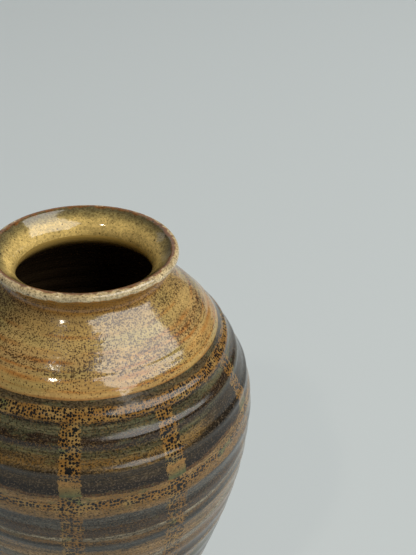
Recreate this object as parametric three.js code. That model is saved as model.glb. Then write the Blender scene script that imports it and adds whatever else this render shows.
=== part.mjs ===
// A stoneware vase thrown on the wheel: a wide belly on a narrow foot, an undercut neck and a
// flared, rolled lip. The clay is a trimmed foot ring, a thrown body, a shoulder section and a
// neck collar, luted together at stepped seams, and four coats of glaze lie on it. Every piece is
// turned about the +Z axis. Millimetres; the origin is on the table, under the foot's centre.
import * as THREE from "three";

// ---- Heights, each from the top of the stretch below it ----
const FOOT_HEIGHT = 6;
const LOWER_WALL_HEIGHT = 162; // foot ring to belly
const UPPER_WALL_HEIGHT = 65.8; // belly to the line where the shoulder section is luted on
const SHOULDER_SECTION_HEIGHT = 27.7; // that line to the neck's root
const NECK_HEIGHT = 5; // root to throat
const MOUTH_HEIGHT = 13.5; // throat to the top of the lip

// ---- Radii of the finished outside, glaze included ----
const FOOT_RADIUS = 50; // wall at the top of the foot ring
const BELLY_RADIUS = 96.5;
const SHOULDER_RADIUS = 75; // at the shoulder section's seam
const THROAT_RADIUS = 37.4; // narrowest inside
const NECK_ROOT_STEP = 9.6; // the neck's root lies this far outside the throat
const RIM_RADIUS = 52; // outermost point of the lip

// ---- Thicknesses ----
const WALL = 5.5; // clay and its outside glaze
const FLOOR = 8;
const GLAZE = 0.5; // each coat
const FIT = 0.02; // air left between a coat and the clay, so that no two solids overlap
const LIP_HALF_WIDTH = 2.8;
const LIP_HALF_HEIGHT = 2.6;

// ---- Foot and floor ----
const BARE_CLAY = 9; // unglazed wall above the foot ring, measured along the wall
const RING_WIDTH = 8;
const RING_CHAMFER = 1.2;
const TONGUE_WIDTH = 3; // tongue on the ring, in a groove under the floor
const TONGUE_HEIGHT = 2;
const FLOOR_CORNER = 14; // how far the inside corner reaches in over the floor

// ---- Slopes in degrees from level, and the lengths of the curves' handles ----
const LOWER_WALL_SLOPE = 65;
const SHOULDER_SLOPE = 55.7;
const NECK_ROOT_SLOPE = 45;
const FOOT_HANDLE = 45;
const BELLY_HANDLE_BELOW = 43;
const BELLY_HANDLE_ABOVE = 12;
const SHOULDER_HANDLE_BELOW = 46;
const SHOULDER_HANDLE_ABOVE = 15.5;
const NECK_ROOT_HANDLE_BELOW = 13;
const NECK_ROOT_HANDLE_ABOVE = 8;
const UNDER_LIP_HANDLE = 9;
const FLARE_HANDLE = 5;
const THROAT_HANDLE_ABOVE = 6;
const THROAT_HANDLE_BELOW = 4;
const INNER_ROOT_HANDLE = 4;
const LIP_FROM = -45; // degrees round the lip's section, from outwards
const LIP_TO = 135;

// ---- Facets ----
const SEGMENTS = 28; // the same on every piece, so that touching faces match
const LOWER_STEPS = 6;
const UPPER_STEPS = 5;
const SHOULDER_STEPS = 4;
const NECK_STEPS = 4;
const LIP_STEPS = 4;
const FLARE_STEPS = 4;
const THROAT_STEPS = 2;
const CORNER_STEPS = 3;

const radians = THREE.MathUtils.degToRad;
const point = (radius, height) => new THREE.Vector2(radius, height);

// A point at a distance from another, in a direction given in degrees from outwards.
const reach = (from, degrees, distance) =>
  point(Math.cos(radians(degrees)), Math.sin(radians(degrees)))
    .multiplyScalar(distance)
    .add(from);

// Places along a curve, each with the way out of the clay there. The outline runs up the outside,
// over the lip and down the inside.
function stations(curve, steps) {
  return Array.from({ length: steps + 1 }, (_, i) => {
    const along = curve.getTangent(i / steps);
    return { at: curve.getPoint(i / steps), out: point(along.y, -along.x) };
  });
}

// The stations' places, moved into the clay by a depth.
const sunk = (list, depth) =>
  list.map(({ at, out }) => at.clone().addScaledVector(out, -depth));

const halfway = (a, b) => a.clone().lerp(b, 0.5);
const backwards = (list) => [...list].reverse();

// ---- The outline's fixed places ----
const footHeight = FOOT_HEIGHT;
const bellyHeight = footHeight + LOWER_WALL_HEIGHT;
const shoulderHeight = bellyHeight + UPPER_WALL_HEIGHT;
const neckRootHeight = shoulderHeight + SHOULDER_SECTION_HEIGHT;
const throatHeight = neckRootHeight + NECK_HEIGHT;
const totalHeight = throatHeight + MOUTH_HEIGHT;

const foot = point(FOOT_RADIUS, footHeight);
const glazeLine = reach(foot, LOWER_WALL_SLOPE, BARE_CLAY);
const belly = point(BELLY_RADIUS, bellyHeight);
const shoulder = point(SHOULDER_RADIUS, shoulderHeight);
const neckRoot = point(THROAT_RADIUS + NECK_ROOT_STEP, neckRootHeight);
const throat = point(THROAT_RADIUS, throatHeight);

// ---- The outside, from the glaze line to the neck's root ----
const lowerWall = stations(
  new THREE.CubicBezierCurve(
    glazeLine,
    reach(glazeLine, LOWER_WALL_SLOPE, FOOT_HANDLE),
    reach(belly, -90, BELLY_HANDLE_BELOW),
    belly,
  ),
  LOWER_STEPS,
);
const upperWall = stations(
  new THREE.CubicBezierCurve(
    belly,
    reach(belly, 90, BELLY_HANDLE_ABOVE),
    reach(shoulder, -SHOULDER_SLOPE, SHOULDER_HANDLE_BELOW),
    shoulder,
  ),
  UPPER_STEPS,
);
const shoulderWall = stations(
  new THREE.CubicBezierCurve(
    shoulder,
    reach(shoulder, 180 - SHOULDER_SLOPE, SHOULDER_HANDLE_ABOVE),
    reach(neckRoot, -NECK_ROOT_SLOPE, NECK_ROOT_HANDLE_BELOW),
    neckRoot,
  ),
  SHOULDER_STEPS,
);
const bodyWall = [...lowerWall, ...upperWall.slice(1)];
const wall = [...bodyWall, ...shoulderWall.slice(1)];
const seam = bodyWall.length - 1; // the station where the shoulder section is luted on
const root = wall.length - 1; // and the one where the collar is

// ---- The neck, lip and mouth ----
const lipSection = new THREE.EllipseCurve(
  RIM_RADIUS - LIP_HALF_WIDTH,
  totalHeight - LIP_HALF_HEIGHT,
  LIP_HALF_WIDTH,
  LIP_HALF_HEIGHT,
  radians(LIP_FROM),
  radians(LIP_TO),
);
const underLip = lipSection.getPoint(0);
const innerLip = lipSection.getPoint(1);
const innerRoot = sunk([wall[root]], WALL + GLAZE)[0];

const neckWall = stations(
  new THREE.CubicBezierCurve(
    neckRoot,
    reach(neckRoot, 180 - NECK_ROOT_SLOPE, NECK_ROOT_HANDLE_ABOVE),
    underLip.clone().addScaledVector(lipSection.getTangent(0), -UNDER_LIP_HANDLE),
    underLip,
  ),
  NECK_STEPS,
);
const lip = stations(lipSection, LIP_STEPS);
const flare = stations(
  new THREE.CubicBezierCurve(
    innerLip,
    innerLip.clone().addScaledVector(lipSection.getTangent(1), FLARE_HANDLE),
    reach(throat, 90, THROAT_HANDLE_ABOVE),
    throat,
  ),
  FLARE_STEPS,
);
const throatWall = stations(
  new THREE.CubicBezierCurve(
    throat,
    reach(throat, -90, THROAT_HANDLE_BELOW),
    reach(innerRoot, 180 - NECK_ROOT_SLOPE, INNER_ROOT_HANDLE),
    innerRoot,
  ),
  THROAT_STEPS,
);
const mouth = [...lip, ...flare.slice(1)];

// ---- Clay faces under the glaze ----
const outerClay = sunk(wall, GLAZE);
const innerClay = sunk(wall, WALL);
const midClay = outerClay.map((place, i) => halfway(place, innerClay[i]));
const throatClay = sunk(throatWall, GLAZE);

// Where two sections are luted: the outer half of the wall butts at a station, the inner half one
// station lower, so that the upper section has a tongue inside the lower one.
const lutedSeam = (i) => [midClay[i], midClay[i - 1], innerClay[i - 1]];

// ---- Foot ring and floor ----
const bareRadius =
  outerClay[0].x - (outerClay[0].y - footHeight) / Math.tan(radians(LOWER_WALL_SLOPE));
const ringInner = bareRadius - RING_WIDTH;
const tongueInner = (bareRadius + ringInner - TONGUE_WIDTH) / 2;
const tongueOuter = tongueInner + TONGUE_WIDTH;
const tongue = [
  point(tongueInner, footHeight),
  point(tongueInner, footHeight + TONGUE_HEIGHT),
  point(tongueOuter, footHeight + TONGUE_HEIGHT),
  point(tongueOuter, footHeight),
];
const floorHeight = footHeight + FLOOR;

// The inside corner runs down the wall's own slope from the first station above the glaze line and
// turns level on the floor.
const CORNER_STATION = 1;
const cornerTop = innerClay[CORNER_STATION];
const cornerSlope = point(-wall[CORNER_STATION].out.y, wall[CORNER_STATION].out.x);
const cornerDrop = (cornerTop.y - floorHeight) / cornerSlope.y;
const cornerTurn = cornerTop.clone().addScaledVector(cornerSlope, -cornerDrop);
const corner = stations(
  new THREE.QuadraticBezierCurve(
    cornerTop,
    cornerTurn,
    point(cornerTurn.x - FLOOR_CORNER, floorHeight),
  ),
  CORNER_STEPS,
);

// ---- Materials ----
const finish = (color, roughness) =>
  new THREE.MeshStandardMaterial({ color, roughness, metalness: 0 });
const bareStoneware = finish("#9a7b5a", 0.85);
const darkLiner = finish("#2b241b", 0.25);
const mouthGlaze = finish("#b59a5c", 0.25);
const ochreGlaze = finish("#8f7040", 0.28);
const bandedGlaze = finish("#5b4a35", 0.25);

// A piece turned from its section, which starts and ends on the axis or closes on itself.
function turned(name, section, material) {
  const geometry = new THREE.LatheGeometry(section, SEGMENTS);
  geometry.rotateX(Math.PI / 2);
  const piece = new THREE.Mesh(geometry, material);
  piece.name = name;
  return piece;
}

const closed = (section) => [...section, section[0]];

function footRing() {
  const section = [
    point(bareRadius - RING_CHAMFER, 0),
    point(bareRadius, RING_CHAMFER),
    point(bareRadius, footHeight),
    ...backwards(tongue),
    point(ringInner, footHeight),
    point(ringInner, RING_CHAMFER),
    point(ringInner + RING_CHAMFER, 0),
  ];
  return turned("foot_ring", closed(section), bareStoneware);
}

function thrownBody() {
  const section = [
    point(0, footHeight),
    ...tongue,
    point(bareRadius, footHeight),
    ...outerClay.slice(0, seam + 1),
    ...lutedSeam(seam),
    ...backwards(innerClay.slice(CORNER_STATION, seam - 1)),
    ...sunk(corner.slice(1), 0),
    point(0, floorHeight),
  ];
  return turned("thrown_body", section, bareStoneware);
}

function shoulderSection() {
  const section = [
    ...outerClay.slice(seam, root + 1),
    ...lutedSeam(root),
    ...backwards(innerClay.slice(seam, root - 1)),
    ...backwards(lutedSeam(seam)),
  ];
  return turned("shoulder_section", closed(section), bareStoneware);
}

function neckCollar() {
  const section = [
    ...sunk(neckWall, GLAZE),
    ...sunk(mouth.slice(1), GLAZE),
    ...throatClay.slice(1),
    ...backwards(lutedSeam(root)),
  ];
  return turned("neck_collar", closed(section), bareStoneware);
}

// A coat of glaze along a stretch of the outline.
function coat(name, stretch, material) {
  const section = [...sunk(stretch, 0), ...backwards(sunk(stretch, GLAZE - FIT))];
  return turned(name, closed(section), material);
}

// The liner covers the whole inside, from the floor's centre to the throat. Its outline is walked
// up on the clay's side and back down on the air's side.
function linerGlaze() {
  const inside = wall.slice(CORNER_STATION + 1, root);
  const section = [
    point(0, floorHeight + FIT),
    ...backwards(sunk(corner, -FIT)),
    ...sunk(inside, WALL + FIT),
    ...backwards(sunk(throatWall, GLAZE - FIT)),
    ...sunk(throatWall, 0),
    ...backwards(sunk(inside, WALL + GLAZE)),
    ...sunk(corner, -GLAZE),
    point(0, floorHeight + GLAZE),
  ];
  return turned("liner_glaze", section, darkLiner);
}

const vase = new THREE.Group();
vase.add(
  footRing(),
  thrownBody(),
  shoulderSection(),
  neckCollar(),
  linerGlaze(),
  coat("mouth_glaze", mouth, mouthGlaze),
  coat("shoulder_glaze", [...shoulderWall, ...neckWall.slice(1)], ochreGlaze),
  coat("body_glaze", bodyWall, bandedGlaze),
);

export default vase;
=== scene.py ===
"""A wheel-thrown stoneware vase: its fine shape and its glazes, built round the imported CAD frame.

Every piece is a surface of revolution about +Z. Its section is a stretch of one outline, which runs
up the outside from the glaze line, over the rolled lip and down the inside of the neck, and the
finger marks of throwing move all the skins together. Lengths are millimetres until a mesh is made.
"""
import math

import bpy
import numpy as np
from mathutils import Matrix, Vector


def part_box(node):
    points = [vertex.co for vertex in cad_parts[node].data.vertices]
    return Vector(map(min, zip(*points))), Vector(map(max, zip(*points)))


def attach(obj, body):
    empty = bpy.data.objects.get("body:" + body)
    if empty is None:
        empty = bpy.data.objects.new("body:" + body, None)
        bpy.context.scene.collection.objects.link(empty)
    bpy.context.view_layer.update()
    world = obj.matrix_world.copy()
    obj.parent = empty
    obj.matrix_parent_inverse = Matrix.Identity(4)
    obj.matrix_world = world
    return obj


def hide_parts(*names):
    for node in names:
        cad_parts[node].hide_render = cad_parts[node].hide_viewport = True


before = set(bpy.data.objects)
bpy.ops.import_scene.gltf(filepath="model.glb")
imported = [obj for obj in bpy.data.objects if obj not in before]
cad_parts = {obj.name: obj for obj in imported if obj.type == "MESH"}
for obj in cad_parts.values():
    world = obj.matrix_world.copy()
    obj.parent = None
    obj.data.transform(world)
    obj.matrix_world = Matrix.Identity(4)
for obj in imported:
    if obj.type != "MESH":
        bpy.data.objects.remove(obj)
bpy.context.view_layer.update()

MM = 0.001


def box_mm(node):
    """A CAD node's lowest and highest corners, in millimetres."""
    low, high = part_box(node)
    return np.array(low) / MM, np.array(high) / MM


# ---- The outline: places as [radius, height], slopes in degrees from level ----
RIM_RADIUS, _, HEIGHT = box_mm("mouth_glaze")[1]
THROAT_HEIGHT = box_mm("mouth_glaze")[0][2]
SEAM_HEIGHT = box_mm("body_glaze")[1][2]
SEAM_RADIUS = box_mm("shoulder_glaze")[1][0]
GLAZE_LINE = np.array([53.8, box_mm("body_glaze")[0][2]])
BELLY = np.array([96.5, 168.0])
SHOULDER = np.array([SEAM_RADIUS, SEAM_HEIGHT])
NECK_ROOT = np.array([47.0, 261.5])
THROAT = np.array([37.4, THROAT_HEIGHT])
LIP_HALF = np.array([2.8, 2.6])
LIP_CENTRE = np.array([RIM_RADIUS, HEIGHT]) - LIP_HALF
LOWER_WALL_SLOPE = 65.0
SHOULDER_SLOPE = 55.7
NECK_ROOT_SLOPE = 45.0
# The stretch of the lip's ellipse that the outline follows, in degrees from outwards.
LIP_FROM, LIP_TO = -45.0, 135.0
CURVE_POINTS = 160
# The wall with the glaze outside it, a coat of glaze with the air under it, and that air.
WALL = 5.5
GLAZE = 0.5
FIT = 0.02
UNDER_GLAZE = GLAZE - FIT

# ---- Foot and floor ----
RING_WIDTH = 8.0
RING_CHAMFER = 1.2
TONGUE_WIDTH = 3.0
TONGUE_HEIGHT = 2.0
FLOOR = 8.0
FLOOR_CORNER = 14.0
RING_OUTER = box_mm("foot_ring")[1][0]
RING_INNER = RING_OUTER - RING_WIDTH
TONGUE_INNER = (RING_INNER + RING_OUTER - TONGUE_WIDTH) / 2
TONGUE_OUTER = TONGUE_INNER + TONGUE_WIDTH
TONGUE_TOP = box_mm("foot_ring")[1][2]
FOOT_HEIGHT = TONGUE_TOP - TONGUE_HEIGHT
FLOOR_HEIGHT = FOOT_HEIGHT + FLOOR


def reach(start, degrees, distance):
    """A place at a distance from another, in a direction given in degrees from outwards."""
    angle = math.radians(degrees)
    return start + distance * np.array([math.cos(angle), math.sin(angle)])


def bezier(*corners, count=CURVE_POINTS):
    """Bernstein's sum of the corners: a quadratic curve from three of them, a cubic from four."""
    t = np.linspace(0.0, 1.0, count)[:, None]
    last = len(corners) - 1
    return sum(
        math.comb(last, k) * t**k * (1 - t) ** (last - k) * corner
        for k, corner in enumerate(corners)
    )


def lip_point(degrees):
    """A place on the lip's section, an upright ellipse, by its angle from outwards."""
    angle = np.radians(degrees)
    return LIP_CENTRE + LIP_HALF * np.column_stack([np.cos(angle), np.sin(angle)])


def lip_slope(degrees):
    """The way the outline runs along the lip at an angle of its ellipse, as a unit vector."""
    angle = math.radians(degrees)
    way = LIP_HALF * np.array([-math.sin(angle), math.cos(angle)])
    return way / np.linalg.norm(way)


def outline_stretches():
    """The outline's smooth curves in order, each ending where the next starts. Each leaves its two
    ends along their slopes, by handles whose lengths give it its swing."""
    lip = lip_point(np.linspace(LIP_FROM, LIP_TO, CURVE_POINTS))
    wall_out = reach(np.zeros(2), 90 - NECK_ROOT_SLOPE, 1.0)
    inner_root = NECK_ROOT - (WALL + GLAZE) * wall_out
    return {
        "lower": bezier(
            GLAZE_LINE, reach(GLAZE_LINE, LOWER_WALL_SLOPE, 45), reach(BELLY, -90, 43), BELLY
        ),
        "upper": bezier(
            BELLY, reach(BELLY, 90, 12), reach(SHOULDER, -SHOULDER_SLOPE, 46), SHOULDER
        ),
        "shoulder": bezier(
            SHOULDER,
            reach(SHOULDER, 180 - SHOULDER_SLOPE, 15.5),
            reach(NECK_ROOT, -NECK_ROOT_SLOPE, 13),
            NECK_ROOT,
        ),
        "neck": bezier(
            NECK_ROOT,
            reach(NECK_ROOT, 180 - NECK_ROOT_SLOPE, 8),
            lip[0] - 9 * lip_slope(LIP_FROM),
            lip[0],
        ),
        "lip": lip,
        "flare": bezier(
            lip[-1], lip[-1] + 5 * lip_slope(LIP_TO), reach(THROAT, 90, 6), THROAT
        ),
        "throat": bezier(
            THROAT, reach(THROAT, -90, 4), reach(inner_root, 180 - NECK_ROOT_SLOPE, 4), inner_root
        ),
    }


STRETCHES = outline_stretches()
OUTLINE = np.vstack([curve[(k > 0) :] for k, curve in enumerate(STRETCHES.values())])
STEPS = np.linalg.norm(np.diff(OUTLINE, axis=0), axis=1)
ARC = np.concatenate([[0.0], np.cumsum(STEPS)])
RUN = np.gradient(OUTLINE, ARC, axis=0)
OUT = np.column_stack([RUN[:, 1], -RUN[:, 0]]) / np.linalg.norm(RUN, axis=1)[:, None]
ENDS = np.cumsum([len(curve) - (k > 0) for k, curve in enumerate(STRETCHES.values())]) - 1
ARC_END = {name: ARC[end] for name, end in zip(STRETCHES, ENDS)}
# Places along the outline, in millimetres of arc from the glaze line: where the inside wall turns
# into the floor's corner, the shoulder line, the neck's root, and where the neck, the flare of the
# mouth and the throat end.
CORNER_ARC = 14.0
SEAM_ARC = ARC_END["upper"]
ROOT_ARC = ARC_END["shoulder"]
LIP_ARC = ARC_END["neck"]
THROAT_ARC = ARC_END["flare"]
END_ARC = ARC_END["throat"]
# How far the upper section's tongue reaches down inside the lower one, in the middle of the wall.
SEAM_TONGUE = 8.0
MID_WALL = (WALL + GLAZE) / 2


def arc_at(height):
    """How far up the outside wall a height lies, measured along the outline."""
    wall = ARC <= ROOT_ARC
    return np.interp(height, OUTLINE[wall, 1], ARC[wall])


def skin(start, end, step, depth=0.0):
    """Section rows along the outline from one arc length to another, sunk into the clay by a
    depth: radius, height, the outward normal's two parts, and the arc length."""
    arc = np.linspace(start, end, max(2, round(abs(end - start) / step) + 1))
    place = np.column_stack([np.interp(arc, ARC, OUTLINE[:, k]) for k in (0, 1)])
    out = np.column_stack([np.interp(arc, ARC, OUT[:, k]) for k in (0, 1)])
    out /= np.linalg.norm(out, axis=1)[:, None]
    deep = np.broadcast_to(depth, arc.shape)[:, None]
    return np.column_stack([place - deep * out, out, arc])


def one_row(arc, depth):
    """The single section row at an arc length, sunk by a depth."""
    return skin(arc, arc, 1.0, depth)[:1]


def plain(*places):
    """Section rows off the outline, which take no finger marks."""
    rows = np.zeros((len(places), 5))
    rows[:, :2] = places
    return rows


# ---- Finger marks ----
# Crests that the potter's fingers left in the wall: height, half width and rise, in millimetres.
CRESTS = [
    (246.0, 4.0, 0.10),
    (241.5, 1.2, -0.14),
    (238.0, 2.6, 0.12),
    (226.6, 2.3, 0.80),
    (215.2, 2.8, 0.92),
    (201.4, 2.4, 1.15),
]
CREST_SPACING = 12.6
EVEN_FROM, EVEN_TO = 190.0, 24.0
CRESTS += [
    (height, 3.4, 0.34 + 0.08 * math.sin(2.3 * k))
    for k, height in enumerate(np.arange(EVEN_FROM, EVEN_TO, -CREST_SPACING))
]
# Fine waves that the rib left: their rise and spacing in millimetres, and a sine round the pot that
# they wander by: how much, how many times round, and from where.
RIB_WAVES = [(0.007, 3.7, 2, 3, 0.0), (0.004, 2.3, 3, 2, 1.0)]
QUILTING = 0.05
OUT_OF_ROUND = 0.10
FADE_START, FADE_END = ROOT_ARC - 8, ROOT_ARC + 4
NECK_SHARE = 0.12


def relief(arc, angle):
    """How far the skin stands out, in millimetres. Each finger mark is a bell, its size times
    exp(-(distance / half width)^2), that drifts up and down and swells round the pot by sines of
    the angle. The rib's waves are sines of the arc length; a quilting and the wall's slow
    out-of-round are sines of both. A smooth step across the neck's root fades it all to about an
    eighth."""
    rise = np.zeros(np.broadcast(arc, angle).shape)
    for k, (height, half_width, size) in enumerate(CRESTS):
        drift = 0.8 * np.sin(angle + 1.7 * k) + 0.4 * np.sin(2 * angle + 0.9 * k)
        strength = 1 + 0.25 * np.sin(2 * angle + 1.7 * k)
        rise += size * strength * np.exp(-(((arc - arc_at(height) - drift) / half_width) ** 2))
    for size, spacing, wander, times, start in RIB_WAVES:
        rise += size * np.sin(2 * math.pi * arc / spacing + wander * np.sin(times * angle + start))
    rise += QUILTING * np.sin(7 * angle + arc / 6) * np.sin(arc / 11 + 2 * angle)
    rise += OUT_OF_ROUND * np.sin(2 * angle + arc / 40)
    fade = np.clip((FADE_END - arc) / (FADE_END - FADE_START), 0, 1)
    return rise * (NECK_SHARE + (1 - NECK_SHARE) * fade * fade * (3 - 2 * fade))


# ---- Tape strips: masked with tape before the bands were brushed, so the ground shows ----
# Degrees from the front, -Y, towards +X.
STRIP_ANGLES = [-36.5, -7.4, 26.6, 65.0, 102.0, 139.0, 176.0, 213.0, 250.0, 287.0]


def degrees_from_strip(angle):
    """Degrees round the pot to the nearest strip's middle."""
    away = np.degrees(angle)[:, None] - np.array(STRIP_ANGLES)[None, :]
    return np.abs((away + 180) % 360 - 180).min(axis=1)


# Edges that turn by more than this many degrees stay sharp.
SHARP_FROM = 40.0


def faces_round(rows, columns, closed):
    """Every face's corners in one list, and how many corners each face has. A face joins two
    neighbours in a row to the two above them, and the last row joins the first. On an open section
    each end row is a single pole with triangles round it, and nothing joins one to the other."""
    index = np.arange(rows * columns).reshape(rows, columns)
    if not closed:
        index[0], index[-1] = index[0, 0], index[-1, 0]
    around, above = np.roll(index, -1, axis=1), np.roll(index, -1, axis=0)
    quads = np.stack([index, around, np.roll(above, -1, axis=1), above], axis=-1)
    if closed:
        return quads.ravel(), np.full(rows * columns, 4)
    first, last = quads[0][:, [0, 2, 3]], quads[-2][:, [0, 1, 2]]
    corners = np.concatenate([first.ravel(), quads[1:-2].ravel(), last.ravel()])
    return corners, np.repeat([3, 4, 3], [columns, (rows - 3) * columns, columns])


def revolve(name, section, columns, node, material, closed=True):
    """A section carried round +Z. The angle starts at the front, -Y, and grows towards +X: a row's
    vertex is at radius sin(angle), -radius cos(angle), height, moved along the row's outward normal
    by the finger marks. An open section has its two ends on the axis."""
    angle = np.arange(columns) * 2 * math.pi / columns
    radius, height, out_r, out_z, arc = (column[:, None] for column in section.T)
    stands = relief(arc, angle[None, :]) * (np.hypot(out_r, out_z) > 0)
    r, z = radius + stands * out_r, height + stands * out_z
    grid = np.stack([r * np.sin(angle), -r * np.cos(angle), z + 0 * angle], axis=-1)
    rows = len(section)
    corners, sizes = faces_round(rows, columns, closed)
    used, corners = np.unique(corners, return_inverse=True)
    places = grid.reshape(-1, 3)[used] * MM
    mesh = bpy.data.meshes.new(name)
    mesh.vertices.add(len(places))
    mesh.vertices.foreach_set("co", places.ravel())
    mesh.loops.add(len(corners))
    mesh.loops.foreach_set("vertex_index", corners.ravel())
    mesh.polygons.add(len(sizes))
    mesh.polygons.foreach_set("loop_start", np.concatenate([[0], np.cumsum(sizes)[:-1]]))
    mesh.update(calc_edges=True)
    for label, values in {
        "along": np.broadcast_to(arc, (rows, columns)),
        "from_strip": np.broadcast_to(degrees_from_strip(angle), (rows, columns)),
    }.items():
        layer = mesh.attributes.new(label, "FLOAT", "POINT")
        layer.data.foreach_set("value", values.ravel()[used].astype(np.float32))
    mesh.shade_smooth()
    mesh.set_sharp_from_angle(angle=math.radians(SHARP_FROM))
    mesh.materials.append(material)
    piece = bpy.data.objects.new(name, mesh)
    bpy.context.collection.objects.link(piece)
    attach(piece, "root")
    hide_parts(node)
    return piece


# ---- Materials ----
# Grit as drawn, in millimetres, and how rough the iron is that breaks through a glaze.
GRIT = 0.75
IRON_ROUGHNESS = 0.25


def linear(code):
    """An sRGB hex colour as linear red, green, blue and full alpha."""
    parts = [int(code[k : k + 2], 16) / 255 for k in (1, 3, 5)]
    return (*[p / 12.92 if p <= 0.04045 else ((p + 0.055) / 1.055) ** 2.4 for p in parts], 1.0)


def put(tree, kind, *values, out=0, **settings):
    """Adds a node and gives it its settings. The values go to its input sockets in order, or by
    name from one dictionary: None leaves a socket alone, another node's output is linked, and
    anything else is set. Returns one of its outputs, by number or name."""
    made = tree.nodes.new("ShaderNode" + kind)
    for name, setting in settings.items():
        setattr(made, name, setting)
    named = len(values) == 1 and isinstance(values[0], dict)
    for socket, value in values[0].items() if named else enumerate(values):
        if isinstance(value, bpy.types.NodeSocket):
            tree.links.new(value, made.inputs[socket])
        elif value is not None:
            made.inputs[socket].default_value = value
    return made.outputs[out] if made.outputs else None


def new_material(name):
    """An empty node material and its tree."""
    material = bpy.data.materials.new(name)
    material.use_nodes = True
    material.node_tree.nodes.clear()
    return material, material.node_tree


def object_mm(tree):
    """The place on the piece, in millimetres, and its height."""
    place = put(tree, "TexCoord", out="Object")
    place = put(tree, "VectorMath", {0: place, "Scale": 1 / MM}, operation="SCALE")
    return place, put(tree, "SeparateXYZ", place, out="Z")


def unrolled(tree, place, radius):
    """The surface laid flat: millimetres round the pot at one radius, and along its outline."""
    x = put(tree, "SeparateXYZ", place)
    y = put(tree, "SeparateXYZ", place, out="Y")
    forwards = put(tree, "Math", y, -1.0, operation="MULTIPLY")
    angle = put(tree, "Math", x, forwards, operation="ARCTAN2")
    around = put(tree, "Math", angle, radius, operation="MULTIPLY")
    along = put(tree, "Attribute", out="Fac", attribute_name="along")
    return put(tree, "CombineXYZ", around, along)


def grain(tree, place, around, up, detail=2.0, shift=0.0, out=0):
    """Noise about 0.5 whose patches are so many millimetres long round the pot and so many high. A
    shift of its own keeps a pattern from agreeing with the others."""
    squeeze = (1 / around, 1 / around, 1 / up)
    cells = put(tree, "VectorMath", place, squeeze, (shift,) * 3, operation="MULTIPLY_ADD")
    return put(tree, "TexNoise", {"Vector": cells, "Scale": 1.0, "Detail": detail}, out=out)


def swayed(tree, value, noise, amount):
    """A value moved by a noise, up or down by half of an amount at most."""
    sway = put(tree, "Math", noise, 0.5, operation="SUBTRACT")
    return put(tree, "Math", sway, amount, value, operation="MULTIPLY_ADD")


def distance_from(tree, value, middle):
    """How far a value is from a middle one, either way."""
    off = put(tree, "Math", value, middle, operation="SUBTRACT")
    return put(tree, "Math", off, operation="ABSOLUTE")


def stained(tree, colour, where, share, code):
    """A colour turned towards another, by a share at most, where a mask says so."""
    amount = put(tree, "Math", where, share, operation="MULTIPLY")
    return put(tree, "MixRGB", amount, colour, linear(code))


def drifting(tree, place, height, slow, ragged):
    """The height as brushed bands see it: it drifts slowly round the pot by so many millimetres and
    frays finely by so many more."""
    level = swayed(tree, height, grain(tree, place, 46, 30, 1.0), slow)
    return swayed(tree, level, grain(tree, place, 6, 1.3, 3.0, 7.0), ragged)


def bands_of_colour(tree, level, bands):
    """Bands laid from the top down, each covering what is below its own top edge. A band is its top
    height, how softly it starts, its colour and how much of the ground it hides."""
    colour, cover = linear(bands[0][2]), bands[0][3]
    for top, soft, code, share in bands[1:]:
        start, full = top + soft, top - soft
        below = put(tree, "MapRange", level, start, full, interpolation_type="SMOOTHSTEP")
        colour = put(tree, "MixRGB", below, colour, linear(code))
        cover = put(tree, "Mix", below, None, cover, share)
    return colour, cover


def streaked(tree, place, colour, around, up, darkest, lightest, shift):
    """Lightens and darkens a colour in level streaks of a given length and height."""
    streaks = grain(tree, place, around, up, 3.0, shift)
    value = put(tree, "MapRange", streaks, 0.3, 0.7, darkest, lightest)
    return put(tree, "HueSaturation", {"Color": colour, "Value": value})


def pepper(tree, place, size, share, shift):
    """Irregular specks of about one size in millimetres, which fill a share of the surface."""
    specks = grain(tree, place, 1.3 * size, size, 1.5, shift)
    edge = put(tree, "Math", share, -0.36, 0.68, operation="MULTIPLY_ADD")
    depth = put(tree, "Math", specks, edge, operation="SUBTRACT")
    return put(tree, "MapRange", depth, -0.02, 0.03, interpolation_type="SMOOTHSTEP")


def grit(tree, place, colour, shift):
    """Breaks a colour up with dark iron grit and some pale grit. Both are drawn about twice as
    coarse as the real third of a millimetre, so that they show."""
    colour = stained(tree, colour, pepper(tree, place, GRIT, 0.32, shift), 0.78, "#1A130C")
    return stained(tree, colour, pepper(tree, place, GRIT, 0.24, shift + 5), 0.38, "#7C6A54")


def spots(tree, flat, spacing, least, most, shift, grows=0.0, jumble=0.85):
    """Beads of iron, one to a cell of a lattice laid flat round the pot and jumbled by a share,
    wavy at the edge. Each radius is drawn between two sizes in millimetres and grows by one more,
    and a radius below nothing gives no bead."""
    wave = grain(tree, flat, 1.8, 1.8, 1.0, shift, out="Color")
    flat = put(tree, "VectorMath", wave, (0.8,) * 3, flat, operation="MULTIPLY_ADD")
    scale = (1 / spacing,) * 3
    cells = put(tree, "VectorMath", flat, scale, (shift,) * 3, operation="MULTIPLY_ADD")
    lattice = {"Vector": cells, "Scale": 1.0, "Randomness": jumble}
    chance = put(tree, "TexVoronoi", lattice, out="Color", voronoi_dimensions="2D")
    off_centre = chance.node.outputs["Distance"]
    chance = put(tree, "SeparateColor", chance)
    radius = put(tree, "MapRange", chance, 0.0, 1.0, least, most)
    radius = put(tree, "Math", radius, grows, operation="ADD")
    depth = put(tree, "Math", off_centre, -spacing, radius, operation="MULTIPLY_ADD")
    return put(tree, "MapRange", depth, -0.12, 0.12, interpolation_type="SMOOTHSTEP")


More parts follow.
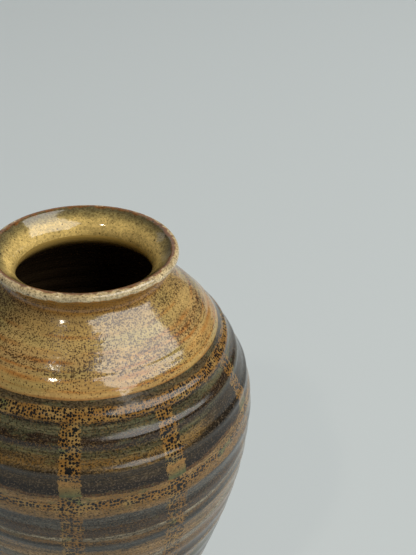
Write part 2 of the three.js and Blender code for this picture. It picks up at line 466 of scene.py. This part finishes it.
def gloss(tree, place, colour, smooth, rough, strength=0.5, ior=1.52, iron=0.0):
    """Ends a material as fired glaze: roughness that changes in patches, duller where iron breaks
    through, and a skin of slow puddles a few millimetres long with a fine orange-peel in them."""
    patches = grain(tree, place, 5.0, 2.0, 2.0, 23.0)
    roughness = put(tree, "MapRange", patches, 0.3, 0.7, smooth, rough)
    roughness = put(tree, "Mix", iron, None, roughness, IRON_ROUGHNESS)
    puddles = grain(tree, place, 6.5, 5.0, 1.0)
    peel = grain(tree, place, 2.4, 1.9, 2.0, 31.0)
    height = put(tree, "Math", peel, 0.22, puddles, operation="MULTIPLY_ADD")
    skin_bump = put(tree, "Bump", {"Strength": strength, "Distance": 0.14 * MM, "Height": height})
    sockets = {"Base Color": colour, "Roughness": roughness, "Normal": skin_bump, "IOR": ior}
    put(tree, "OutputMaterial", put(tree, "BsdfPrincipled", sockets))


# Bands from the shoulder line down: the height where each starts at its top, how soft that edge is,
# its colour, and how much of the spotted ground it hides. Millimetres.
BANDS = [
    (300.0, 0.4, "#473B26", 0.90),
    (230.7, 0.4, "#7A5A34", 0.02),
    (225.0, 0.4, "#1E1B16", 0.76),
    (223.4, 0.8, "#4C4934", 0.82),
    (219.0, 1.0, "#281D12", 0.84),
    (212.4, 1.2, "#45402A", 0.84),
    (208.4, 1.4, "#564428", 0.62),
    (202.6, 1.0, "#302719", 0.97),
    (194.5, 2.0, "#1E1711", 0.99),
    (190.4, 0.5, "#4A321A", 0.78),
    (188.4, 0.6, "#7C6340", 0.52),
    (185.4, 0.5, "#7C6340", 0.04),
    (179.8, 0.6, "#6C5434", 0.58),
    (174.4, 1.0, "#42403A", 0.94),
    (167.2, 1.0, "#36281A", 0.80),
    (158.8, 1.0, "#7D735E", 0.88),
    (155.8, 0.7, "#57432A", 0.68),
    (151.6, 1.2, "#383732", 0.94),
    (145.0, 1.2, "#7A6344", 0.66),
    (132.0, 0.8, "#7E745F", 0.88),
    (127.0, 1.2, "#664D30", 0.66),
    (117.0, 1.5, "#362B20", 0.86),
    (108.0, 0.8, "#7C6340", 0.10),
    (101.0, 1.0, "#4C4B36", 0.86),
    (92.0, 1.5, "#30251B", 0.88),
    (78.0, 1.0, "#7A6040", 0.62),
    (68.0, 1.0, "#45433E", 0.92),
    (58.0, 1.5, "#57432C", 0.74),
    (44.0, 1.2, "#2D241C", 0.90),
    (30.0, 1.0, "#745838", 0.62),
    (20.0, 1.0, "#3A2B1D", 0.82),
]
# Streaks in a coat: their length and height in millimetres, how dark and how light they make it as
# shares of its colour, and the noise's shift.
BRUSH_STREAKS = [
    (80, 0.8, 0.50, 1.65, 3.0),
    (34, 4.0, 0.56, 1.46, 41.0),
    (1.9, 0.9, 0.55, 1.5, 47.0),
]
# Below, places are millimetres: heights, and distances across towards +X.
# The brush spiralled below SPIRAL_TOP: bands climb away from a middle line, by a slant that is full
# from SPIRAL_FULL down. Above it they climb on one side only, past LEAN_FROM.
SPIRAL_TOP, SPIRAL_FULL = 162.0, 146.0
SPIRAL_MIDDLE, SPIRAL_SLANT = 16.0, -0.14
LEAN_TOP, LEAN_FULL = 225.0, 213.0
LEAN_FROM, LEAN_SLANT = 45.0, -0.16
# The oxide turns mossy in patches from MOSS_LOW up.
MOSS_LOW, MOSS_FULL = 203.0, 210.0
# Where the brush was loaded heaviest, near black on one side.
HEAVY_MIDDLE, HEAVY_HALF, HEAVY_SOFT = 203.0, 10.0, 3.0
HEAVY_FROM, HEAVY_FULL, HEAVY_SHARE = 56.0, 68.0, 0.75
# The strips' half width in degrees, and how much wider a ragged tear makes it at most. Below
# FAINT_FROM they took more oxide, and show the ground by FAINT_SHARE.
STRIP_HALF, STRIP_TEAR = 1.75, 3.4
TAPE_TOP = 225.0
FAINT_FROM, FAINT_FULL, FAINT_SHARE = 181.0, 177.0, 0.84
# Glaze pooled in the strips round POOL_MIDDLE, tan at POOL_TAN, green at POOL_GREEN.
POOL_MIDDLE, POOL_HALF, POOL_SOFT = 193.0, 5.0, 1.5
POOL_TAN, POOL_GREEN = 195.5, 189.5
# Beads sit in rows, in cells a little longer round the pot than they are high.
BEAD_SPACING, STRIP_BEAD_SPACING = 1.85, 3.9
ROW_STRETCH = 1.1


def brushed_level(tree, place, height, across):
    """The height as the bands see it: slanted where the brush spiralled or leaned, and drifting."""
    slant = put(tree, "MapRange", height, SPIRAL_TOP, SPIRAL_FULL, 0.0, SPIRAL_SLANT)
    away = distance_from(tree, across, SPIRAL_MIDDLE)
    slanted = put(tree, "Math", away, slant, height, operation="MULTIPLY_ADD")
    lean = put(tree, "MapRange", height, LEAN_TOP, LEAN_FULL, 0.0, LEAN_SLANT)
    past = put(tree, "Math", across, LEAN_FROM, operation="SUBTRACT")
    past = put(tree, "Math", past, 0.0, operation="MAXIMUM")
    slanted = put(tree, "Math", past, lean, slanted, operation="MULTIPLY_ADD")
    return drifting(tree, place, slanted, 5.0, 3.2)


def heavy_brush(tree, level, across):
    """Where the brush was loaded heaviest, from 0 beside it to its share."""
    away = distance_from(tree, level, HEAVY_MIDDLE)
    edge = HEAVY_HALF - HEAVY_SOFT
    heavy = put(tree, "MapRange", away, HEAVY_HALF, edge, interpolation_type="SMOOTHSTEP")
    one_side = put(tree, "MapRange", across, HEAVY_FROM, HEAVY_FULL, 0.0, HEAVY_SHARE)
    return put(tree, "Math", heavy, one_side, operation="MULTIPLY")


def tape_strips(tree, place, level):
    """Where tape kept the oxide off: 0 beside the strips, 1 in them, with edges that tore."""
    from_strip = put(tree, "Attribute", out="Fac", attribute_name="from_strip")
    torn = grain(tree, place, 1.7, 2.6, 3.0, 17.0)
    half_width = put(tree, "Math", torn, STRIP_TEAR, STRIP_HALF, operation="MULTIPLY_ADD")
    inside = put(tree, "Math", half_width, from_strip, operation="SUBTRACT")
    strip = put(tree, "MapRange", inside, -0.3, 0.3, interpolation_type="SMOOTHSTEP")
    taped = put(tree, "MapRange", level, TAPE_TOP, TAPE_TOP - 1)
    strip = put(tree, "Math", strip, taped, operation="MULTIPLY")
    faint = put(tree, "MapRange", level, FAINT_FROM, FAINT_FULL, 1.0, FAINT_SHARE)
    return put(tree, "Math", strip, faint, operation="MULTIPLY")


def amber_ground(tree, place, level):
    """The glaze under the oxide, amber to tan with green patches, and its pool in the strips.
    Returns the colour, and how far a place lies in the pool."""
    warm = grain(tree, place, 9, 5, 1.5, 11.0)
    warm = put(tree, "MapRange", warm, 0.42, 0.66, interpolation_type="SMOOTHSTEP")
    ground = put(tree, "MixRGB", warm, linear("#8B642F"), linear("#9A7A46"))
    green = grain(tree, place, 13, 8, 1.5, 37.0)
    green = put(tree, "MapRange", green, 0.60, 0.72, interpolation_type="SMOOTHSTEP")
    ground = put(tree, "MixRGB", green, ground, linear("#68683F"))
    low = put(tree, "MapRange", level, POOL_TAN, POOL_GREEN)
    pooled = put(tree, "MixRGB", low, linear("#9A7440"), linear("#5C6240"))
    away = distance_from(tree, level, POOL_MIDDLE)
    edge = POOL_HALF - POOL_SOFT
    pool = put(tree, "MapRange", away, POOL_HALF, edge, interpolation_type="SMOOTHSTEP")
    return put(tree, "MixRGB", pool, ground, pooled), pool


def iron_beads(tree, place, cover, strip, pool):
    """Iron in the open ground: small beads in rows, bigger ones in the strips and fine dust, all of
    it drowned in the pool."""
    flat = unrolled(tree, place, BELLY[0])
    flat = put(tree, "VectorMath", flat, (1.0, ROW_STRETCH, 1.0), operation="MULTIPLY")
    in_rows = spots(tree, flat, BEAD_SPACING, 0.34, 1.00, 2.0, jumble=0.7)
    in_strip = spots(tree, flat, STRIP_BEAD_SPACING, -2.2, 1.7, 9.0)
    in_strip = put(tree, "Math", in_strip, strip, operation="MULTIPLY")
    dust = pepper(tree, place, GRIT, 0.20, 53.0)
    dust = put(tree, "Math", dust, 0.5, operation="MULTIPLY")
    iron = put(tree, "Math", in_rows, in_strip, operation="MAXIMUM")
    iron = put(tree, "Math", iron, dust, operation="MAXIMUM")
    open_ground = put(tree, "MapRange", cover, 0.20, 0.45, 1.0, 0.0)
    iron = put(tree, "Math", iron, open_ground, operation="MULTIPLY")
    drowned = put(tree, "MapRange", pool, 0.0, 1.0, 1.0, 0.25)
    return put(tree, "Math", iron, drowned, operation="MULTIPLY")


def banded_glaze():
    """Oxide bands brushed on the turning pot over an iron-spotted tan glaze, tape strips left bare.
    Fired to a gloss: the eye sees grainy level bands, black beads in rows and clear reflections."""
    material, tree = new_material("brushed_oxide_glaze")
    place, height = object_mm(tree)
    across = put(tree, "SeparateXYZ", place)
    level = brushed_level(tree, place, height, across)
    oxide, cover = bands_of_colour(tree, level, BANDS)
    for streaks in BRUSH_STREAKS:
        oxide = streaked(tree, place, oxide, *streaks)
    mossy = grain(tree, place, 9, 2.5, 2.0, 59.0)
    mossy = put(tree, "MapRange", mossy, 0.56, 0.70, 0.0, 0.4)
    high = put(tree, "MapRange", height, MOSS_LOW, MOSS_FULL)
    mossy = put(tree, "Math", mossy, high, operation="MULTIPLY")
    oxide = put(tree, "MixRGB", mossy, oxide, linear("#5E6244"))
    heavy = heavy_brush(tree, level, across)
    oxide = put(tree, "MixRGB", heavy, oxide, linear("#15110C"))
    cover = put(tree, "Math", heavy, cover, operation="ADD")

    cover = swayed(tree, cover, grain(tree, place, 50, 2.2, 2.0, 29.0), 0.6)
    strip = tape_strips(tree, place, level)
    bare = put(tree, "MapRange", strip, 0.0, 1.0, 1.0, 0.08)
    cover = put(tree, "Math", cover, bare, operation="MULTIPLY", use_clamp=True)

    ground, pool = amber_ground(tree, place, level)
    iron = iron_beads(tree, place, cover, strip, pool)
    ground = put(tree, "MixRGB", iron, ground, linear("#101113"))
    stain = put(tree, "Math", cover, 0.84, operation="MULTIPLY")
    ground = put(tree, "MixRGB", stain, ground, oxide)
    oxide = grit(tree, place, oxide, 71.0)
    hidden = pepper(tree, place, GRIT, cover, 61.0)
    colour = put(tree, "MixRGB", hidden, ground, oxide)
    gloss(tree, place, colour, 0.12, 0.24, 0.8, 1.43)
    return material


# The shoulder's tints from the neck down, as BANDS are, but with the share that iron specks fill.
OCHRES = [
    (300.0, 1.0, "#AE8E56", 0.26),
    (262.0, 3.0, "#B69558", 0.29),
    (256.0, 2.0, "#BD9D60", 0.26),
    (250.0, 2.0, "#B4925A", 0.29),
    (242.0, 1.0, "#B69054", 0.19),
    (236.0, 0.7, "#B8945A", 0.13),
    (234.6, 0.5, "#A07440", 0.08),
]
# Throwing lines where the glaze runs thin: height and half width, in millimetres, and how many half
# widths out a line has faded.
ORANGE_LINES = [(256.0, 0.7), (250.4, 0.9), (247.4, 0.8), (244.3, 0.6), (240.8, 1.0), (237.0, 0.5)]
LINE_REACH = 1.6
ASH_STREAKS = [
    (60, 0.8, 0.84, 1.14, 13.0),
    (22, 7.0, 0.86, 1.12, 43.0),
    (1.3, 0.9, 0.80, 1.20, 45.0),
]
# Where the neck's darker tint starts and is full, partly painted shade under the lip and partly the
# glaze breaking brown there, and the radius the shoulder's specks are laid at.
NECK_SHADE_AND_TINT_FROM, NECK_SHADE_AND_TINT_FULL = 262.5, 265.5
SPECK_RADIUS = 0.8 * SHOULDER[0]


def ochre_glaze():
    """Ochre ash glaze, thin over the throwing lines, where it breaks orange, and peppered with iron
    from the clay: a warm gloss with brown specks."""
    material, tree = new_material("ochre_ash_glaze")
    place, height = object_mm(tree)
    level = drifting(tree, place, height, 2.5, 0.6)
    colour, share = bands_of_colour(tree, level, OCHRES)
    broken = grain(tree, place, 26, 6, 2.0, 4.0)
    broken = put(tree, "MapRange", broken, 0.40, 0.57, 0.0, 0.8)
    for middle, half_width in ORANGE_LINES:
        away = distance_from(tree, level, middle)
        reached = LINE_REACH * half_width
        line = put(tree, "MapRange", away, reached, 0.0, interpolation_type="SMOOTHSTEP")
        line = put(tree, "Math", line, broken, operation="MULTIPLY")
        colour = put(tree, "MixRGB", line, colour, linear("#A86A2A"))
    for streaks in ASH_STREAKS:
        colour = streaked(tree, place, colour, *streaks)
    ashy = grain(tree, place, 30, 9, 1.5, 67.0)
    ashy = put(tree, "MapRange", ashy, 0.48, 0.68, 0.0, 0.45)
    colour = put(tree, "MixRGB", ashy, colour, linear("#9E9458"))
    # Painted shade under the lip, with the glaze breaking brown there: the neck turns a darker
    # orange-brown.
    start, full = NECK_SHADE_AND_TINT_FROM, NECK_SHADE_AND_TINT_FULL
    neck = put(tree, "MapRange", level, start, full, interpolation_type="SMOOTHSTEP")
    colour = put(tree, "MixRGB", neck, colour, linear("#B0803A"))

    share = swayed(tree, share, grain(tree, place, 40, 5, 2.0, 19.0), 0.45)
    flat = unrolled(tree, place, SPECK_RADIUS)
    some = put(tree, "Math", share, 1.7, -0.37, operation="MULTIPLY_ADD")
    coarse = spots(tree, flat, 1.2, -0.38, 0.47, 3.0, some)
    fine = spots(tree, flat, 0.88, -0.20, 0.36, 8.0, some)
    iron = put(tree, "Math", coarse, fine, operation="MAXIMUM")
    iron = put(tree, "Math", iron, 0.9, operation="MULTIPLY")
    colour = put(tree, "MixRGB", iron, colour, linear("#3C2510"))
    gloss(tree, place, colour, 0.06, 0.12, 1.0, 1.56, iron)
    return material


# The mouth's colours by millimetres along its glaze, from the neck over the lip and down the flare:
# where each starts, how softly, its colour, and how thickly it is peppered.
MOUTH_RUN = [
    # The first band, just under the lip, is orange-brown partly from the glaze running thin and
    # partly as painted shade.
    (0.0, 0.4, "#A8763A", 0.12),
    (1.3, 0.6, "#D2BE95", 0.38),
    (4.2, 0.8, "#CDB486", 0.36),
    (5.8, 0.5, "#7C4F24", 0.20),
    (7.8, 0.8, "#625A3E", 0.46),
    (10.4, 2.8, "#988652", 0.36),
    (14.2, 2.6, "#E0C074", 0.16),
]


def mouth_glaze():
    """The same ash glaze where it pools in the mouth: pale and mottled over the lip, orange-brown
    where it runs thin on the lip's edges, under the lip also as painted shade, golden down the
    flare."""
    material, tree = new_material("pooled_ash_glaze")
    place, _ = object_mm(tree)
    along = put(tree, "Attribute", out="Fac", attribute_name="along")
    run = put(tree, "Math", along, LIP_ARC, operation="SUBTRACT")
    run = swayed(tree, run, grain(tree, place, 5, 3), 5.0)
    backwards = put(tree, "Math", run, -1.0, operation="MULTIPLY")
    steps = [(-start, soft, code, share) for start, soft, code, share in MOUTH_RUN]
    colour, share = bands_of_colour(tree, backwards, steps)
    colour = streaked(tree, place, colour, 1.5, 1.5, 0.70, 1.24, 5.0)
    colour = streaked(tree, place, colour, 14, 14, 0.78, 1.15, 45.0)
    colour = stained(tree, colour, pepper(tree, place, 0.8, share, 6.0), 0.5, "#4A3416")
    few = spots(tree, unrolled(tree, place, THROAT[0]), 3.4, -1.4, 0.62, 6.0)
    colour = stained(tree, colour, few, 0.8, "#33240F")
    gloss(tree, place, colour, 0.06, 0.14, 0.7)
    return material


# Heights between which the gold at the throat gives way to the liner's brown: painted light and
# shade deepening down into the vase, over the liner's own dark brown.
INNER_SHADE_FROM, INNER_SHADE_FULL = 266.0, 256.0


def liner_glaze():
    """A thin dark liner glaze poured round the inside: golden at the throat and dark brown below,
    the fall from gold to brown being painted light and shade deepening down into the vase."""
    material, tree = new_material("dark_liner_glaze")
    place, height = object_mm(tree)
    # Painted light and shade: the colour darkens from gold at the throat to brown down the inside
    # of the vase.
    below = put(tree, "MapRange", height, INNER_SHADE_FROM, INNER_SHADE_FULL, interpolation_type="SMOOTHSTEP")
    colour = put(tree, "MixRGB", below, linear("#BC9C54"), linear("#4A3A27"))
    colour = streaked(tree, place, colour, 50, 2.4, 0.7, 1.3, 0.0)
    gloss(tree, place, colour, 0.2, 0.35)
    return material


def bare_stoneware():
    """Unglazed stoneware, toasted in the kiln: matte buff-brown, sandy with grog."""
    material, tree = new_material("toasted_bare_stoneware")
    place, _ = object_mm(tree)
    flash = grain(tree, place, 30, 12)
    flash = put(tree, "MapRange", flash, 0.3, 0.7, interpolation_type="SMOOTHSTEP")
    colour = put(tree, "MixRGB", flash, linear("#9A7450"), linear("#7D5434"))
    grog = pepper(tree, place, 0.9, 0.15, 2.0)
    colour = put(tree, "MixRGB", grog, colour, linear("#4A3322"))
    sand = grain(tree, place, 0.5, 0.5, 3.0)
    bump = put(tree, "Bump", {"Strength": 0.6, "Distance": 0.15 * MM, "Height": sand})
    sockets = {"Base Color": colour, "Roughness": 0.85, "Normal": bump, "IOR": 1.5}
    put(tree, "OutputMaterial", put(tree, "BsdfPrincipled", sockets))
    return material


# ---- Pieces ----
COLUMNS, CLAY_COLUMNS, LINER_COLUMNS = 240, 120, 180
# Row spacing on faces that the glaze or the clay hides, in millimetres along the outline.
CLAY_STEP, UNDER_STEP = 3.0, 4.0
BEAD_RISE, BEAD_REACH = 0.3, 1.6
# Where the liner's coarse rows on the wall give way to its fine rows in the throat.
LINER_SPLIT_ARC = ROOT_ARC - 0.5


def coat(name, start, end, step, node, material, bead=0.0):
    """A coat of glaze along a stretch of the outline: its face, then its underside backwards.
    Where it stops on bare clay it ends in a bead, a bell-shaped thickening of
    exp(-(distance / reach)^2)."""
    face = skin(start, end, step)
    swell = bead * np.exp(-(((face[:, 4] - start) / BEAD_REACH) ** 2))
    face[:, :2] += swell[:, None] * face[:, 2:4]
    under = skin(end, start, UNDER_STEP, UNDER_GLAZE)
    return revolve(name, np.vstack([face, under]), COLUMNS, node, material)


def inside_corner(depth):
    """The floor's rounded inside corner, from the wall down to the level floor, standing clear of
    the clay by a depth."""
    top = one_row(CORNER_ARC, WALL)[0]
    way = np.array([-top[3], top[2]])
    turn = top[:2] - way * (top[1] - FLOOR_HEIGHT) / way[1]
    curve = bezier(top[:2], turn, np.array([turn[0] - FLOOR_CORNER, FLOOR_HEIGHT]), count=24)
    run = np.gradient(curve, axis=0)
    out = np.column_stack([run[:, 1], -run[:, 0]]) / np.linalg.norm(run, axis=1)[:, None]
    return curve + depth * out


def foot_ring(material):
    """The trimmed ring the pot stands on, its lower edges eased in two steps, a tongue on top."""
    eased = 0.35 * RING_CHAMFER
    section = plain(
        (RING_OUTER - RING_CHAMFER, 0.0),
        (RING_OUTER - eased, eased),
        (RING_OUTER, RING_CHAMFER),
        (RING_OUTER, FOOT_HEIGHT),
        (TONGUE_OUTER, FOOT_HEIGHT),
        (TONGUE_OUTER, TONGUE_TOP),
        (TONGUE_INNER, TONGUE_TOP),
        (TONGUE_INNER, FOOT_HEIGHT),
        (RING_INNER, FOOT_HEIGHT),
        (RING_INNER, RING_CHAMFER),
        (RING_INNER + eased, eased),
        (RING_INNER + RING_CHAMFER, 0.0),
    )
    return revolve("trimmed_foot_ring", section, COLUMNS, "foot_ring", material)


def luted_seam(arc):
    """Where two clay sections meet: butted in the outer half of the wall, a tongue lower inside."""
    return np.vstack([one_row(arc, MID_WALL), one_row(arc - SEAM_TONGUE, MID_WALL)])


def thrown_body(material):
    """Floor and wall up to the shoulder line, with a groove for the foot ring's tongue."""
    section = np.vstack(
        [
            plain(
                (0.0, FOOT_HEIGHT),
                (TONGUE_INNER, FOOT_HEIGHT),
                (TONGUE_INNER, TONGUE_TOP),
                (TONGUE_OUTER, TONGUE_TOP),
                (TONGUE_OUTER, FOOT_HEIGHT),
                (RING_OUTER, FOOT_HEIGHT),
            ),
            skin(0.0, SEAM_ARC, CLAY_STEP, GLAZE),
            luted_seam(SEAM_ARC),
            skin(SEAM_ARC - SEAM_TONGUE, CORNER_ARC, CLAY_STEP, WALL),
            plain(*inside_corner(0.0)[1:]),
            plain((0.0, FLOOR_HEIGHT)),
        ]
    )
    return revolve(
        "thrown_body_clay", section, CLAY_COLUMNS, "thrown_body", material, False
    )


def shoulder_section(material):
    """The upper wall, from the shoulder line to the neck's root."""
    section = np.vstack(
        [
            skin(SEAM_ARC, ROOT_ARC, CLAY_STEP, GLAZE),
            luted_seam(ROOT_ARC),
            skin(ROOT_ARC - SEAM_TONGUE, SEAM_ARC - SEAM_TONGUE, CLAY_STEP, WALL),
            luted_seam(SEAM_ARC)[::-1],
        ]
    )
    return revolve(
        "shoulder_clay", section, CLAY_COLUMNS, "shoulder_section", material
    )


def neck_collar(material):
    """Neck, lip and mouth in one collar, its tongue inside the shoulder section."""
    section = np.vstack(
        [
            skin(ROOT_ARC, END_ARC, 0.8, GLAZE),
            one_row(ROOT_ARC - SEAM_TONGUE, WALL),
            luted_seam(ROOT_ARC)[::-1],
        ]
    )
    return revolve(
        "neck_collar_clay", section, CLAY_COLUMNS, "neck_collar", material
    )


def liner(material):
    """The dark coat over the whole inside: its underside from the floor's middle up to the throat,
    then its face back down."""
    section = np.vstack(
        [
            plain((0.0, FLOOR_HEIGHT + FIT)),
            plain(*inside_corner(FIT)[::-1]),
            skin(CORNER_ARC, LINER_SPLIT_ARC, CLAY_STEP, WALL + FIT)[1:],
            skin(END_ARC, THROAT_ARC, 1.0, UNDER_GLAZE),
            skin(THROAT_ARC, END_ARC, 0.5),
            skin(LINER_SPLIT_ARC, CORNER_ARC, 1.5, WALL + GLAZE)[:-1],
            plain(*inside_corner(GLAZE)),
            plain((0.0, FLOOR_HEIGHT + GLAZE)),
        ]
    )
    return revolve(
        "poured_liner", section, LINER_COLUMNS, "liner_glaze", material, False
    )


clay = bare_stoneware()
foot_ring(clay)
thrown_body(clay)
shoulder_section(clay)
neck_collar(clay)
liner(liner_glaze())
coat(
    "belly_coat", 0.0, SEAM_ARC, 0.8, "body_glaze", banded_glaze(), BEAD_RISE
)
coat("shoulder_coat", SEAM_ARC, LIP_ARC, 0.4, "shoulder_glaze", ochre_glaze())
coat("mouth_coat", LIP_ARC, THROAT_ARC, 0.3, "mouth_glaze", mouth_glaze())


# ---- Stage: pale floor, soft window light, a small lamp, and the camera ----
# Metres: half of the paper's width, and the height that the lights face.
FLOOR_HALF = 3.5
LIT_HEIGHT = 0.85 * HEIGHT * MM
# The camera's distance in metres and its elevation from the rim's middle, which way it looks, in
# degrees, and its lens in millimetres.
CAMERA_DISTANCE, CAMERA_ELEVATION = 0.4584, 28.84
CAMERA_YAW, CAMERA_PITCH, CAMERA_ROLL = 9.79, 31.0, 2.55
CAMERA_LENS = 54.1


def direction(azimuth, elevation):
    """A unit vector from the vase, by its azimuth from the front towards +X and its elevation."""
    a, e = math.radians(azimuth), math.radians(elevation)
    return Vector((math.sin(a) * math.cos(e), -math.cos(a) * math.cos(e), math.sin(e)))


def pale_floor():
    """A wide sheet of pale grey paper under the vase."""
    mesh = bpy.data.meshes.new("paper_floor")
    corners = [(x * FLOOR_HALF, y * FLOOR_HALF, 0) for x, y in ((-1, -1), (1, -1), (1, 1), (-1, 1))]
    mesh.from_pydata(corners, [], [(0, 1, 2, 3)])
    material, tree = new_material("pale_paper")
    sockets = {"Base Color": linear("#CFD6D8"), "Roughness": 0.9, "Specular IOR Level": 0.2}
    put(tree, "OutputMaterial", put(tree, "BsdfPrincipled", sockets))
    mesh.materials.append(material)
    floor = bpy.data.objects.new("paper_floor", mesh)
    bpy.context.collection.objects.link(floor)


def soft_light(name, azimuth, elevation, distance, wide, tall, radiance, colour):
    """An area light facing the shoulder; its power gives it a radiance, whatever its size."""
    aim = Vector((0, 0, LIT_HEIGHT))
    way = direction(azimuth, elevation)
    light = bpy.data.lights.new(name, "AREA")
    light.shape = "RECTANGLE"
    light.size, light.size_y = wide, tall
    light.energy = radiance * math.pi * wide * tall
    light.color = linear(colour)[:3]
    lamp = bpy.data.objects.new(name, light)
    lamp.location = aim + distance * way
    lamp.rotation_euler = way.to_track_quat("Z", "Y").to_euler()
    bpy.context.collection.objects.link(lamp)


def room(colour, strength, seen):
    """The pale room all round: a dim even light on the vase, and brighter where it is looked at."""
    world = bpy.data.worlds.new("pale_room")
    world.use_nodes = True
    tree = world.node_tree
    looked_at = put(tree, "MapRange", put(tree, "LightPath"), 0.0, 1.0, strength, seen)
    background = tree.nodes["Background"].inputs
    background["Color"].default_value = linear(colour)
    tree.links.new(looked_at, background["Strength"])
    bpy.context.scene.world = world


def close_camera():
    """A camera close above the rim, looking down past the vase."""
    yaw, pitch, roll = (math.radians(a) for a in (CAMERA_YAW, CAMERA_PITCH, CAMERA_ROLL))
    level = Vector((math.sin(yaw), math.cos(yaw), 0))
    right = Vector((math.cos(yaw), -math.sin(yaw), 0))
    up = Vector((0, 0, 1))
    ahead = level * math.cos(pitch) - up * math.sin(pitch)
    upright = up * math.cos(pitch) + level * math.sin(pitch)
    across = right * math.cos(roll) + upright * math.sin(roll)
    upright = upright * math.cos(roll) - right * math.sin(roll)
    camera = bpy.data.cameras.new("close_camera")
    camera.lens = CAMERA_LENS
    camera.clip_start = 0.01
    holder = bpy.data.objects.new("close_camera", camera)
    turn = Matrix((across, upright, -ahead)).transposed()
    place = Vector((0, 0, HEIGHT * MM)) + CAMERA_DISTANCE * direction(0, CAMERA_ELEVATION)
    holder.matrix_world = Matrix.Translation(place) @ turn.to_4x4()
    bpy.context.collection.objects.link(holder)
    bpy.context.scene.camera = holder


pale_floor()
room("#ECEDE9", strength=0.12, seen=0.62)
soft_light(
    "window", azimuth=58, elevation=49, distance=8.0, wide=9.3, tall=5.6,
    radiance=4.5, colour="#FFFEFA",
)
soft_light(
    "lamp", azimuth=-38, elevation=50, distance=1.2, wide=0.075, tall=0.07,
    radiance=60.0, colour="#FFF4E0",
)
soft_light(
    "fill", azimuth=195, elevation=38, distance=7.0, wide=7.0, tall=4.0,
    radiance=0.6, colour="#FFFFFF",
)
close_camera()
bpy.context.scene.view_settings.view_transform = "Standard"
